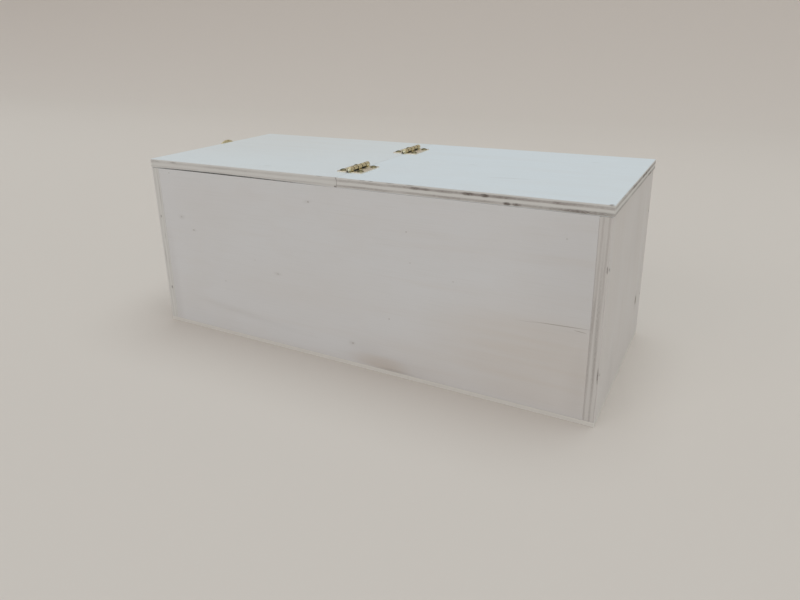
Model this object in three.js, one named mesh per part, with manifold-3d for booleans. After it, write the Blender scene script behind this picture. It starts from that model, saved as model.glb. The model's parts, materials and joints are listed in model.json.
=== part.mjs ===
// Kindling box: an open five-ply case under a top in two halves. The right half is
// fixed; the left half lifts on two brass butt hinges screwed over the seam, and a
// brass swing hook on the left end holds it shut.
//
// Millimetres. X runs along the length with the lifting half at -X, the front faces
// -Y, Z is up, and the origin is the middle of the underside.

import * as THREE from 'three';
import { mergeVertices } from 'three/addons/utils/BufferGeometryUtils.js';
import Module from 'manifold-3d';

const wasm = await Module();
wasm.setup();

// ---------------------------------------------------------------- driving sizes

// Case and top
const caseLength = 456;
const caseDepth = 190;
const caseHeight = 169;
const wallThickness = 9;
const bottomThickness = 4;
const topThickness = 9;
const topOverhang = 1;
const seamGap = 0.3;
const seamFromLeft = 226;

// Panel pins that hold the end panels to the front and back
const pinInset = 40;
const panelPinLength = 25;
const panelPinDiameter = 1.4;
const panelPinHeadDiameter = 2.6;
const panelPinHeadDepth = 0.8;

// Butt hinges
const hingeLength = 33;
const hingeOpenWidth = 26;
const leafThickness = 0.8;
const leafCornerRadius = 1.5;
const hingePinDiameter = 2.8;
const hingePinChamfer = 0.3;
const knuckleCount = 5;
const frontHingeFromFront = 36.5;
const rearHingeFromFront = 140;
const hingeScrewSpacing = 22.7;
const hingeScrewFromAxis = 9;

// Brass wood screws: round heads on the hinges, countersunk ones in the catch plates
const hingeScrew = { head: 6.4, rise: 1.5, shank: 2.6, length: 8, point: 2.5 };
const catchScrew = { head: 4.2, sink: 1, shank: 2, length: 9, point: 2 };

// Swing-hook catch on the left end
const catchFromFront = 113;
const catchPlateThickness = 1;
const catchPlateWidth = 24;
const basePlateHeight = 12;
const keeperCrown = 3;
const keeperShoulder = 2;
const keeperSetUp = 0.5;
const catchScrewSpacing = 16;
const hookReach = 22;
const hookThickness = 1.2;
const hookEyeRadius = 4;
const hookRimWidth = 2.4;
const hookArmWidth = 5;
const hookTabRadius = 2.4;
const hookTabOffset = 2.5;
const hookTabDrop = 6.5;
const postNeckDiameter = 3;
const postTailDiameter = 2.4;
const postCollarDiameter = 5.6;
const postHeadDiameter = 5.6;
const postHeadRise = 1;

// Clearances
const pinFit = 0.2;
const screwFit = 0.2;
const knuckleGap = 0.4;
const notchGap = 0.4;
const hookFit = 0.3;
const holeEndGap = 0.5;

// Facets round a full turn, and steps up a screw's dome
const roundFacets = 16;
const domeSteps = 4;

// ---------------------------------------------------------------- derived places

const topZ = caseHeight + topThickness;
const endX = caseLength / 2;
const frontY = -caseDepth / 2;
const seamX = seamFromLeft - endX;
const boreRadius = hingePinDiameter / 2 + pinFit;
const barrelRadius = boreRadius + leafThickness;
const keeperFaceX = -endX - topOverhang;
const catchY = frontY + catchFromFront;
const studZ = caseHeight + topThickness / 2;
const pivotZ = studZ - hookReach;
const keeperTopFace = topOverhang + catchPlateThickness;

// ---------------------------------------------------------------- solids

function toManifold(geometry) {
  const bare = geometry.clone();
  bare.deleteAttribute('normal');
  bare.deleteAttribute('uv');
  const merged = mergeVertices(bare, 1e-4);
  return new wasm.Manifold(new wasm.Mesh({
    numProp: 3,
    vertProperties: new Float32Array(merged.attributes.position.array),
    triVerts: new Uint32Array(merged.index.array),
  }));
}

function toGeometry(manifold) {
  const mesh = manifold.getMesh();
  const geometry = new THREE.BufferGeometry();
  geometry.setAttribute('position', new THREE.BufferAttribute(new Float32Array(mesh.vertProperties), 3));
  geometry.setIndex(new THREE.BufferAttribute(new Uint32Array(mesh.triVerts), 1));
  return geometry;
}

function cut(geometry, tools) {
  const whole = toManifold(geometry);
  return toGeometry(tools.reduce((solid, tool) => solid.subtract(toManifold(tool)), whole));
}

function join(geometries) {
  return toGeometry(geometries.map(toManifold).reduce((whole, piece) => whole.add(piece)));
}

// A box between two opposite corners.
function block(low, high) {
  const size = high.map((value, axis) => value - low[axis]);
  const middle = high.map((value, axis) => (value + low[axis]) / 2);
  return new THREE.BoxGeometry(...size).translate(...middle);
}

// A round bar along `axis` from one point, `length` long.
function bar(from, axis, radius, length) {
  const geometry = new THREE.CylinderGeometry(radius, radius, length, roundFacets);
  geometry.translate(0, length / 2, 0);
  const up = new THREE.Vector3(0, 1, 0);
  const turn = new THREE.Quaternion().setFromUnitVectors(up, new THREE.Vector3(...axis));
  return geometry.applyQuaternion(turn).translate(...from);
}

function extrude(shape, depth) {
  return new THREE.ExtrudeGeometry(shape, { depth, bevelEnabled: false, curveSegments: roundFacets / 2 });
}

// A disc in the drawing plane, extruded.
function disc(x, y, radius, depth) {
  return extrude(new THREE.Shape().absarc(x, y, radius, 0, 2 * Math.PI), depth);
}

// A straight strip between two points whose width may taper.
function strip(from, to, fromWidth, toWidth, depth) {
  const along = new THREE.Vector2().subVectors(to, from).normalize();
  const across = new THREE.Vector2(-along.y, along.x);
  const shape = new THREE.Shape([
    from.clone().addScaledVector(across, fromWidth / 2),
    from.clone().addScaledVector(across, -fromWidth / 2),
    to.clone().addScaledVector(across, -toWidth / 2),
    to.clone().addScaledVector(across, toWidth / 2),
  ]);
  return extrude(shape, depth);
}

// Half-profile revolved about +Z, given as [radius, height] pairs from the lowest point up.
function revolve(profile) {
  const points = profile.map(([radius, height]) => new THREE.Vector2(radius, height));
  return new THREE.LatheGeometry(points, roundFacets).rotateX(Math.PI / 2);
}

// Points of a low dome of the given base radius and rise, from its rim to its crown.
function dome(radius, rise, base) {
  const sphere = (radius * radius + rise * rise) / (2 * rise);
  const halfAngle = Math.asin(Math.min(1, radius / sphere));
  const points = [];
  for (let step = 0; step <= domeSteps; step += 1) {
    const angle = halfAngle * (1 - step / domeSteps);
    const height = base + rise - sphere * (1 - Math.cos(angle));
    points.push([sphere * Math.sin(angle), height]);
  }
  return points;
}

// A round-head screw pointing down -Z, the underside of its head at the origin.
function roundScrew({ head, rise, shank, length, point }) {
  return revolve([
    [0, -length],
    [shank / 2, point - length],
    [shank / 2, 0],
    ...dome(head / 2, rise, 0),
  ]);
}

// A countersunk screw pointing down -Z, the flat of its head at the origin.
function flatScrew({ head, sink, shank, length, point }) {
  return revolve([
    [0, -length],
    [shank / 2, point - length],
    [shank / 2, -sink],
    [head / 2, 0],
    [0, 0],
  ]);
}

// Drawing plane of the left end as seen from outside: x to the front, y up, z outwards.
const ontoLeftEnd = new THREE.Matrix4().makeBasis(
  new THREE.Vector3(0, -1, 0),
  new THREE.Vector3(0, 0, 1),
  new THREE.Vector3(-1, 0, 0),
);

function faceLeft(geometry) {
  return geometry.applyMatrix4(ontoLeftEnd);
}

// ---------------------------------------------------------------- materials

const paintedPly = { color: 0xc6c8c5, roughness: 0.72, metalness: 0 };
const brass = { color: 0xab9455, roughness: 0.38, metalness: 1 };
const steel = { color: 0x8d8d8a, roughness: 0.45, metalness: 1 };

const box = new THREE.Group();

function add(name, geometry, finish, position = [0, 0, 0]) {
  const mesh = new THREE.Mesh(geometry, new THREE.MeshStandardMaterial(finish));
  mesh.name = name;
  mesh.position.set(...position);
  box.add(mesh);
}

// ---------------------------------------------------------------- panel pins

// Where each panel pin enters an end panel: [y, z].
const wallMiddle = wallThickness / 2;
const panelPinPlaces = [frontY + wallMiddle, -frontY - wallMiddle].flatMap((y) => [
  [y, bottomThickness + pinInset],
  [y, caseHeight - pinInset],
]);

// A pin driven inwards along X, its head flush with the end face.
function panelPin(side, [y, z]) {
  const pin = revolve([
    [0, -panelPinLength],
    [panelPinDiameter / 2, -panelPinLength + panelPinDiameter],
    [panelPinDiameter / 2, -panelPinHeadDepth],
    [panelPinHeadDiameter / 2, -panelPinHeadDepth],
    [panelPinHeadDiameter / 2, 0],
    [0, 0],
  ]);
  return pin.rotateY(side * Math.PI / 2).translate(side * endX, y, z);
}

// The stepped hole that a panel pin fills, from outside the end face to past its point.
function panelPinHole(side, [y, z]) {
  const shank = bar(
    [side * (endX + 1), y, z],
    [-side, 0, 0],
    panelPinDiameter / 2 + pinFit,
    1 + panelPinLength + holeEndGap,
  );
  const head = bar(
    [side * (endX + 1), y, z],
    [-side, 0, 0],
    panelPinHeadDiameter / 2 + pinFit,
    1 + panelPinHeadDepth + pinFit,
  );
  return join([shank, head]);
}

const panelPinHoles = [-1, 1].flatMap((side) => panelPinPlaces.map((place) => panelPinHole(side, place)));

// ---------------------------------------------------------------- case

// A wall between two corners, drilled where a panel pin passes.
function drilledWall(low, high) {
  return cut(block(low, high), panelPinHoles);
}

function addCase() {
  const innerX = endX - wallThickness;
  const innerY = frontY + wallThickness;
  const low = bottomThickness;
  const high = caseHeight;
  add('front_panel', drilledWall([-innerX, frontY, low], [innerX, innerY, high]), paintedPly);
  add('back_panel', drilledWall([-innerX, -innerY, low], [innerX, -frontY, high]), paintedPly);
  add('left_end_panel', cut(
    block([-endX, frontY, low], [-innerX, -frontY, high]),
    [...panelPinHoles, ...basePlateScrewPlaces().map(([y, z]) => catchScrewHole(-endX, y, z))],
  ), paintedPly);
  add('right_end_panel', drilledWall([innerX, frontY, low], [endX, -frontY, high]), paintedPly);
  add('bottom_panel', block([-endX, frontY, 0], [endX, -frontY, bottomThickness]), paintedPly);
  panelPinPlaces.forEach((place, index) => {
    add(`left_end_pin_${index + 1}`, panelPin(-1, place), steel);
    add(`right_end_pin_${index + 1}`, panelPin(1, place), steel);
  });
}

// ---------------------------------------------------------------- top

// Pilot holes for one leaf's screws; side is -1 on the lifting half, 1 on the fixed half.
function hingeScrewPlaces(side) {
  return [frontHingeFromFront, rearHingeFromFront].flatMap((fromFront) => [-0.5, 0.5].map((share) => [
    seamX + side * hingeScrewFromAxis,
    frontY + fromFront + share * hingeScrewSpacing,
  ]));
}

function hingePilotHole([x, y]) {
  const depth = hingeScrew.length - leafThickness + holeEndGap;
  return bar([x, y, topZ + 1], [0, 0, -1], hingeScrew.shank / 2 + screwFit, 1 + depth);
}

function addTop() {
  const outerX = endX + topOverhang;
  const lifting = block([-outerX, frontY, caseHeight], [seamX - seamGap / 2, -frontY, topZ]);
  const fixed = block([seamX + seamGap / 2, frontY, caseHeight], [outerX, -frontY, topZ]);
  add('lifting_top_panel', cut(lifting, [
    ...hingeScrewPlaces(-1).map(hingePilotHole),
    ...keeperScrewPlaces().map(([y, z]) => catchScrewHole(keeperFaceX, y, z)),
  ]), paintedPly);
  add('fixed_top_panel', cut(fixed, hingeScrewPlaces(1).map(hingePilotHole)), paintedPly);
}

// ---------------------------------------------------------------- hinges

// Section of a knuckle and the stub of its leaf: the sheet runs in along the top panel
// and curls up round the pin. Drawn with x away from the pin and y up.
function knuckleSection() {
  const stub = barrelRadius + notchGap + leafThickness;
  const curlEnd = Math.asin((leafThickness - barrelRadius) / barrelRadius);
  const section = new THREE.Shape();
  section.moveTo(stub, 0);
  section.lineTo(0, 0);
  section.absarc(0, barrelRadius, barrelRadius, -Math.PI / 2, curlEnd - 2 * Math.PI, true);
  section.lineTo(stub, leafThickness);
  section.closePath();
  section.holes.push(new THREE.Path().absarc(0, barrelRadius, boreRadius, 0, 2 * Math.PI));
  return section;
}

// The flat of a leaf, rounded at its outer corners, drawn with x away from the pin.
function leafFlat() {
  const near = barrelRadius + notchGap;
  const far = hingeOpenWidth / 2;
  const half = hingeLength / 2;
  const flat = new THREE.Shape();
  flat.moveTo(near, half);
  flat.lineTo(near, -half);
  flat.absarc(far - leafCornerRadius, leafCornerRadius - half, leafCornerRadius, -Math.PI / 2, 0);
  flat.absarc(far - leafCornerRadius, half - leafCornerRadius, leafCornerRadius, 0, Math.PI / 2);
  flat.closePath();
  return extrude(flat, leafThickness);
}

// One leaf about its pin line at y = 0, z = 0 on the top panel. The fixed leaf (side 1)
// has the odd knuckles, the lifting leaf (side -1) the even ones between them.
function hingeLeaf(side) {
  const pitch = (hingeLength + knuckleGap) / knuckleCount;
  const knuckleLength = pitch - knuckleGap;
  const knuckles = [];
  for (let index = side > 0 ? 0 : 1; index < knuckleCount; index += 2) {
    const start = -hingeLength / 2 + index * pitch;
    const knuckle = extrude(knuckleSection(), knuckleLength).rotateX(Math.PI / 2);
    knuckles.push(knuckle.translate(0, start + knuckleLength, 0));
  }
  const holes = [-0.5, 0.5].map((share) => bar(
    [hingeScrewFromAxis, share * hingeScrewSpacing, -1],
    [0, 0, 1],
    hingeScrew.shank / 2 + screwFit,
    leafThickness + 2,
  ));
  const leaf = cut(join([leafFlat(), ...knuckles]), holes);
  return side > 0 ? leaf : leaf.rotateZ(Math.PI);
}

function hingePin() {
  const radius = hingePinDiameter / 2;
  const half = hingeLength / 2;
  return revolve([
    [0, -half],
    [radius - hingePinChamfer, -half],
    [radius, hingePinChamfer - half],
    [radius, half - hingePinChamfer],
    [radius - hingePinChamfer, half],
    [0, half],
  ]).rotateX(Math.PI / 2);
}

function addHinges() {
  const hinges = { front: frontHingeFromFront, rear: rearHingeFromFront };
  for (const [where, fromFront] of Object.entries(hinges)) {
    const place = [seamX, frontY + fromFront, topZ];
    add(`fixed_leaf_${where}`, hingeLeaf(1), brass, place);
    add(`lifting_leaf_${where}`, hingeLeaf(-1), brass, place);
    add(`hinge_pin_${where}`, hingePin(), brass, [seamX, frontY + fromFront, topZ + barrelRadius]);
  }
  for (const [leaf, side] of [['fixed_leaf', 1], ['lifting_leaf', -1]]) {
    hingeScrewPlaces(side).forEach(([x, y], index) => {
      add(`${leaf}_screw_${index + 1}`, roundScrew(hingeScrew), brass, [x, y, topZ + leafThickness]);
    });
  }
}

// ---------------------------------------------------------------- catch

function catchScrewRow(z) {
  return [-0.5, 0.5].map((share) => [catchY + share * catchScrewSpacing, z]);
}

function basePlateScrewPlaces() {
  return catchScrewRow(pivotZ);
}

function keeperScrewPlaces() {
  return catchScrewRow(studZ);
}

// Pilot hole into a left-facing wood face at x.
function catchScrewHole(x, y, z) {
  const depth = catchScrew.length - catchPlateThickness + holeEndGap;
  return bar([x - 1, y, z], [1, 0, 0], catchScrew.shank / 2 + screwFit, 1 + depth);
}

// Countersunk hole through a catch plate, drawn as its screw is, on past both faces.
function countersink() {
  const shank = catchScrew.shank / 2 + screwFit;
  const head = catchScrew.head / 2 + screwFit;
  const past = catchPlateThickness + 1;
  return revolve([[0, -past], [shank, -past], [shank, -catchScrew.sink], [head, 0], [head, 1], [0, 1]]);
}

// Holes through a catch plate drawn about its post: one for the post, two for screws.
function platePiercings() {
  const postHole = bar([0, 0, -1], [0, 0, 1], postTailDiameter / 2 + pinFit, catchPlateThickness + 2);
  const screwHoles = [-0.5, 0.5].map((share) => (
    countersink().translate(share * catchScrewSpacing, 0, catchPlateThickness)
  ));
  return [postHole, ...screwHoles];
}

// Round-ended plate that carries the hook's pivot.
function basePlate() {
  const end = basePlateHeight / 2;
  const reach = catchPlateWidth / 2 - end;
  const outline = new THREE.Shape();
  outline.absarc(reach, 0, end, -Math.PI / 2, Math.PI / 2);
  outline.absarc(-reach, 0, end, Math.PI / 2, 1.5 * Math.PI);
  return cut(extrude(outline, catchPlateThickness), platePiercings());
}

// Plate on the edge of the lifting half, with an arched head that stands over the top.
function keeperPlate() {
  const half = catchPlateWidth / 2;
  const foot = caseHeight + keeperSetUp - studZ;
  const crown = topZ + keeperCrown - studZ;
  const shoulder = topZ - keeperShoulder - studZ;
  const rise = crown - shoulder;
  const arch = (half * half + rise * rise) / (2 * rise);
  const spread = Math.asin(half / arch);
  const outline = new THREE.Shape();
  outline.moveTo(-half, foot);
  outline.lineTo(half, foot);
  outline.absarc(0, crown - arch, arch, Math.PI / 2 - spread, Math.PI / 2 + spread);
  outline.closePath();
  return cut(extrude(outline, catchPlateThickness), platePiercings());
}

// Headed post drawn outwards from a plate's outer face: a tail through the plate, a
// collar where the plate lies deeper than its partner, and a neck that the hook fits.
function headedPost(collar) {
  const neck = postNeckDiameter / 2;
  const rim = collar + hookThickness + 2 * hookFit;
  const profile = [
    [0, -catchPlateThickness],
    [postTailDiameter / 2, -catchPlateThickness],
    [postTailDiameter / 2, 0],
  ];
  if (collar > 0) {
    profile.push([postCollarDiameter / 2, 0], [postCollarDiameter / 2, collar]);
  }
  profile.push([neck, collar], [neck, rim], ...dome(postHeadDiameter / 2, postHeadRise, rim));
  return revolve(profile);
}

// The slot is an arc about the pivot, so the stud slides in as the hook swings up.
function hookThroat() {
  const halfWidth = postNeckDiameter / 2 + hookFit;
  const sweep = (2 * (halfWidth + hookRimWidth)) / hookReach;
  const down = -Math.PI / 2;
  const slot = new THREE.Shape();
  slot.absarc(0, 0, hookReach + halfWidth, down, down + sweep);
  slot.absarc(0, 0, hookReach - halfWidth, down + sweep, down, true);
  slot.closePath();
  return join([extrude(slot, hookThickness + 2), disc(0, -hookReach, halfWidth, hookThickness + 2)])
    .translate(0, 0, -1);
}

// The hook drawn hanging from its pivot: eye, tapering arm, open head and finger tab.
function swingHook() {
  const headRadius = postNeckDiameter / 2 + hookFit + hookRimWidth;
  const pivot = new THREE.Vector2(0, 0);
  const head = new THREE.Vector2(0, -hookReach);
  const tab = new THREE.Vector2(-hookTabOffset, -hookReach - hookTabDrop);
  const body = join([
    disc(pivot.x, pivot.y, hookEyeRadius, hookThickness),
    strip(pivot, head, hookArmWidth, hookArmWidth - 1, hookThickness),
    disc(head.x, head.y, headRadius, hookThickness),
    strip(head, tab, hookArmWidth, 2 * hookTabRadius - 1, hookThickness),
    disc(tab.x, tab.y, hookTabRadius, hookThickness),
  ]);
  const eye = bar([0, 0, -1], [0, 0, 1], postNeckDiameter / 2 + hookFit, hookThickness + 2);
  return cut(body, [eye, hookThroat()]);
}

function addCatchScrews(name, places, faceX) {
  places.forEach(([y, z], index) => {
    add(`${name}_${index + 1}`, faceLeft(flatScrew(catchScrew)), brass, [faceX - catchPlateThickness, y, z]);
  });
}

function addCatch() {
  const pivot = [-endX, catchY, pivotZ];
  const stud = [keeperFaceX, catchY, studZ];
  const onPlate = ([x, y, z]) => [x - catchPlateThickness, y, z];
  add('hook_base_plate', faceLeft(basePlate()), brass, pivot);
  addCatchScrews('hook_base_screw', basePlateScrewPlaces(), -endX);
  add('hook_rivet', faceLeft(headedPost(topOverhang)), brass, onPlate(pivot));
  add('keeper_plate', faceLeft(keeperPlate()), brass, stud);
  addCatchScrews('keeper_screw', keeperScrewPlaces(), keeperFaceX);
  add('keeper_stud', faceLeft(headedPost(0)), brass, onPlate(stud));
  add('swing_hook', faceLeft(swingHook()), brass, [-endX - keeperTopFace - hookFit, catchY, pivotZ]);
}

addCase();
addTop();
addHinges();
addCatch();

export default box;
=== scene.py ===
"""Whitewashed kindling box: long five-ply case, top in two halves, brass hinges, catch."""

import json
import math

import bmesh
import bpy
from bpy.props import FloatProperty, FloatVectorProperty, PointerProperty
from mathutils import Matrix, Vector


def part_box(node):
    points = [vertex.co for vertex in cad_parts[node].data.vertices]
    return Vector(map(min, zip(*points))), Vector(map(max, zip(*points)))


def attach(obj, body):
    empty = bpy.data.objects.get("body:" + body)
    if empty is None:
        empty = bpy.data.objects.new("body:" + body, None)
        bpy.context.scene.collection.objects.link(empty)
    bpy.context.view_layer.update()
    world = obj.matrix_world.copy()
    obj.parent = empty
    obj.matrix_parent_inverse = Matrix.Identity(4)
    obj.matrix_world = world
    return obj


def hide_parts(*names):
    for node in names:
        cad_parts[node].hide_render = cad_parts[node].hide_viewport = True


bl_info = {
    "name": "Whitewashed kindling box",
    "version": (1, 0, 0),
    "blender": (4, 5, 0),
    "location": "View3D > Sidebar > Kindling box",
    "description": "Builds the looks of a plywood kindling box round its packed frame",
    "category": "Object",
}

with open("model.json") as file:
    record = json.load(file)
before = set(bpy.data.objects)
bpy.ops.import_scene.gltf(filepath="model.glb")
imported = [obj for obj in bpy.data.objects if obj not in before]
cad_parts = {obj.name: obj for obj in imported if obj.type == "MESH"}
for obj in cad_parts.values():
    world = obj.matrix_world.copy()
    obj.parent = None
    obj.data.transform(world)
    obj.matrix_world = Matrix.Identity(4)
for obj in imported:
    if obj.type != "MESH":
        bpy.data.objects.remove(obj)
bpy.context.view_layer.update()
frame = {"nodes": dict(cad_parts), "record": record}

MM = 0.001
BODY_OF = {
    node: body
    for body, nodes in frame["record"]["behaviour"]["bodies"].items()
    for node in nodes
}

# ---- colours


def linear(hex_colour):
    """An sRGB hex colour as linear red, green, blue and a full alpha."""
    channels = []
    for start in (1, 3, 5):
        value = int(hex_colour[start:start + 2], 16) / 255
        low = value / 12.92
        high = ((value + 0.055) / 1.055) ** 2.4
        channels.append(low if value <= 0.04045 else high)
    return (*channels, 1.0)


WHITEWASH = linear("#D3D0CF")
# The tops' washes are bluer and the right end's warmer than the front's: painted light, for the
# cool light from above and the warm light bounced onto the right end.
END_WASH_PAINTED_WARM_LIGHT = linear("#D2CCC8")
LIFTING_WASH_PAINTED_COOL_LIGHT = linear("#D1D4D5")
FIXED_WASH_PAINTED_COOL_LIGHT = linear("#D1D6D9")
THIN_WASH = linear("#C2AF9B")
STAIN = linear("#7D6B5C")
FIBRE_GREY = linear("#BDB8B0")
PLY_LIGHT = linear("#D1CDC8")
PLY_WARM = linear("#C9C3BE")
# Paler plies for the bottom's edge: painted light, making up for the light that the edge lacks
# beside the floor.
PLY_FOOT_PAINTED_LIGHT = linear("#DAD5CE")
PLY_DARK = linear("#9F9590")
PLY_BROWN = linear("#4C3F35")
BRASS = linear("#EAE0BA")
# Nearly white brass for the hinge leaves' flats: the pale sky's reflection painted into the
# colour.
LEAF_BRASS_PAINTED_REFLECTION = linear("#FBF5E6")
# Pale brass for the hinge pins: a painted highlight on their ends.
PIN_BRASS_PAINTED_HIGHLIGHT = linear("#F0E9CC")
TARNISH = linear("#94855C")
SCREW_BRASS = linear("#746D55")
# Nearly black, for the painted shade along the barrels' feet and in the joints between
# knuckles.
PAINTED_SHADE = linear("#2E271B")
STEEL = linear("#8E8C88")
FLOOR_SEEN = linear("#CEC5BD")
FLOOR_BOUNCE = linear("#E4E1DC")


# ---- small tools


def add_node(tree, kind, inputs=None, **settings):
    """Adds a shader node with its own settings, and fills or links its inputs, by name or
    by number: 1 to 4 of a Map Range are from low, from high, to low and to high, and 6
    and 7 of a Mix its colours. A node given as an input is linked by its first output."""
    node = tree.nodes.new("ShaderNode" + kind)
    for name, value in settings.items():
        setattr(node, name, value)
    for name, value in (inputs or {}).items():
        if isinstance(value, bpy.types.Node):
            value = value.outputs[0]
        if isinstance(value, bpy.types.NodeSocket):
            tree.links.new(value, node.inputs[name])
        else:
            node.inputs[name].default_value = value
    return node


def new_material(name):
    """An empty node material and its tree."""
    material = bpy.data.materials.new(name)
    material.use_nodes = True
    material.node_tree.nodes.clear()
    return material, material.node_tree


def shade(mesh, sharp_angle):
    """Smooth shading, except at edges sharper than the angle."""
    mesh.shade_smooth()
    mesh.set_sharp_from_angle(angle=sharp_angle)


def piece(name, mesh_data, materials=(), sharp_angle=math.radians(40)):
    """An object in the scene from a bmesh."""
    mesh = bpy.data.meshes.new(name)
    bmesh.ops.recalc_face_normals(mesh_data, faces=mesh_data.faces)
    mesh_data.to_mesh(mesh)
    mesh_data.free()
    shade(mesh, sharp_angle)
    for material in materials:
        mesh.materials.append(material)
    obj = bpy.data.objects.new(name, mesh)
    bpy.context.scene.collection.objects.link(obj)
    return obj


def stand_for(obj, slot, *nodes):
    """Puts a piece in the body of the CAD nodes that it stands for, and hides those nodes."""
    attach(obj, BODY_OF[nodes[0]])
    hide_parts(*nodes)


def bake_modifiers(obj):
    """Leaves the object with the mesh that its modifiers make."""
    evaluated = obj.evaluated_get(bpy.context.evaluated_depsgraph_get())
    mesh = bpy.data.meshes.new_from_object(evaluated)
    obj.modifiers.clear()
    obj.data = mesh


def combine(base, operation, tools):
    """Cuts the tools from the base, or joins them to it, and removes them."""
    for tool in tools:
        modifier = base.modifiers.new(tool.name, "BOOLEAN")
        modifier.operation = operation
        modifier.solver = "EXACT"
        modifier.object = tool
    bake_modifiers(base)
    for tool in tools:
        bpy.data.objects.remove(tool)


def soften_edges(obj, width):
    """Rounds the sharp edges of a metal piece."""
    modifier = obj.modifiers.new("softened", "BEVEL")
    modifier.width = width
    modifier.segments = 2
    modifier.limit_method = "ANGLE"
    modifier.angle_limit = math.radians(35)
    modifier.use_clamp_overlap = True
    bake_modifiers(obj)
    shade(obj.data, math.radians(50))


def arc(centre, radius, start, end, steps):
    """Points along an arc, in order, both ends included."""
    angles = [start + (end - start) * step / steps for step in range(steps + 1)]
    x, y = centre
    return [(x + radius * math.cos(angle), y + radius * math.sin(angle)) for angle in angles]


def disc(centre, radius, steps=32):
    """Outline of a full circle."""
    return arc(centre, radius, 0, 2 * math.pi, steps)[:-1]


def prism(outline, low, high):
    """A bmesh of a flat outline in X and Y, standing from one height to another."""
    solid = bmesh.new()
    base = [solid.verts.new((x, y, low)) for x, y in outline]
    face = solid.faces.new(base)
    raised = bmesh.ops.extrude_face_region(solid, geom=[face])
    verts = [part for part in raised["geom"] if isinstance(part, bmesh.types.BMVert)]
    bmesh.ops.translate(solid, verts=verts, vec=(0, 0, high - low))
    return solid


def lathe(profile, steps=40):
    """A bmesh of a half-profile of (radius, height) pairs turned about Z."""
    solid = bmesh.new()
    rings = []
    for radius, height in profile:
        ring = disc((0, 0), radius, steps) if radius else [(0, 0)]
        rings.append([solid.verts.new((x, y, height)) for x, y in ring])
    for below, above in zip(rings, rings[1:]):
        for step in range(steps):
            corners = [
                below[step % len(below)],
                below[(step + 1) % len(below)],
                above[(step + 1) % len(above)],
                above[step % len(above)],
            ]
            solid.faces.new(list(dict.fromkeys(corners)))
    return solid


def move(obj, matrix):
    """Moves a mesh itself, so that its object stays at the origin."""
    obj.data.transform(matrix)
    obj.data.update()
    return obj


def middle_at(x, node):
    """The middle of a CAD node's box, taken to a place along X."""
    low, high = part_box(node)
    return Vector((x, (low.y + high.y) / 2, (low.z + high.z) / 2))


# ---- plywood panels

ARRIS = 0.4 * MM
TOP_ARRIS = 0.7 * MM
PANEL_STEP = 19 * MM
# How much of its arris a half of the top keeps beside the seam.
SEAM_SHARE = 0.25
PANEL_SHARP = math.radians(10)
# The bow under the lifting half: its height, its share of the length, and how fast it
# fades towards the back.
LIFT_GAP = 1.0 * MM
LIFT_LENGTH = 0.86
LIFT_FADE = 1.6
PIN_HOLE_RADIUS = 1.5 * MM
PIN_HOLE_DEPTH = 1.0 * MM
PIN_SHANK = 0.7 * MM
PIN_HEAD = 0.8 * MM
PIN_SUNK = 0.25 * MM


def panel_mesh(low, high, grain, arris, seam=None, warp=None):
    """A sawn panel with eased arrises, left sharper round a face at a seam. Its map runs
    with the grain on the faces, and along the edge and through the plies, from 0 to 1, on
    the four edges."""
    size = high - low
    through = min(range(3), key=lambda axis: size[axis])
    across = 3 - through - grain
    solid = bmesh.new()
    bmesh.ops.create_cube(solid, size=1)
    for vert in solid.verts:
        vert.co = Vector(
            low[axis] if vert.co[axis] < 0 else high[axis] for axis in range(3)
        )
    for axis in (grain, across):
        cuts = int(size[axis] / PANEL_STEP)
        edges = [
            edge for edge in solid.edges
            if abs((edge.verts[0].co - edge.verts[1].co)[axis]) > size[axis] / 2
        ]
        bmesh.ops.subdivide_edges(solid, edges=edges, cuts=cuts, use_grid_fill=True)
    sharp = [edge for edge in solid.edges if edge.calc_face_angle(0) > 1]
    bmesh.ops.bevel(
        solid, geom=sharp, offset=arris, segments=3, profile=0.5, affect="EDGES"
    )
    if seam is not None:
        close = arris * 1.01
        for vert in [vert for vert in solid.verts if abs(vert.co.x - seam) < close]:
            for axis in range(3):
                for side in (low[axis], high[axis]):
                    if abs(vert.co[axis] - side) < close:
                        vert.co[axis] = side + (vert.co[axis] - side) * SEAM_SHARE
    if warp:
        for vert in solid.verts:
            vert.co += warp(vert.co)
    uv = solid.loops.layers.uv.new("grain")
    for face in solid.faces:
        is_edge = abs(face.normal[through]) < 0.5
        face.material_index = 1 if is_edge else 0
        run = grain if abs(face.normal[grain]) < 0.5 else across
        for loop in face.loops:
            place = loop.vert.co - low
            if is_edge:
                loop[uv].uv = (place[run], place[through] / size[through])
            else:
                loop[uv].uv = (place[grain], place[across])
    return solid


def bowed_front_edge(point):
    """The lifting half is bowed: its underside clears the case between the front left
    corner and the hinges, most of all a hand's width from the corner."""
    low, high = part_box("lifting_top_panel")
    along = (point.x - low.x) / (LIFT_LENGTH * (high.x - low.x))
    back = (point.y - low.y) / (high.y - low.y)
    if point.z > (low.z + high.z) / 2 or not 0 < along < 1:
        return Vector((0, 0, 0))
    hump = math.sin(math.pi * along ** 0.85) ** 0.8
    return Vector((0, 0, LIFT_GAP * hump * max(0.0, 1 - LIFT_FADE * back)))


# ---- wood finishes

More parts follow.
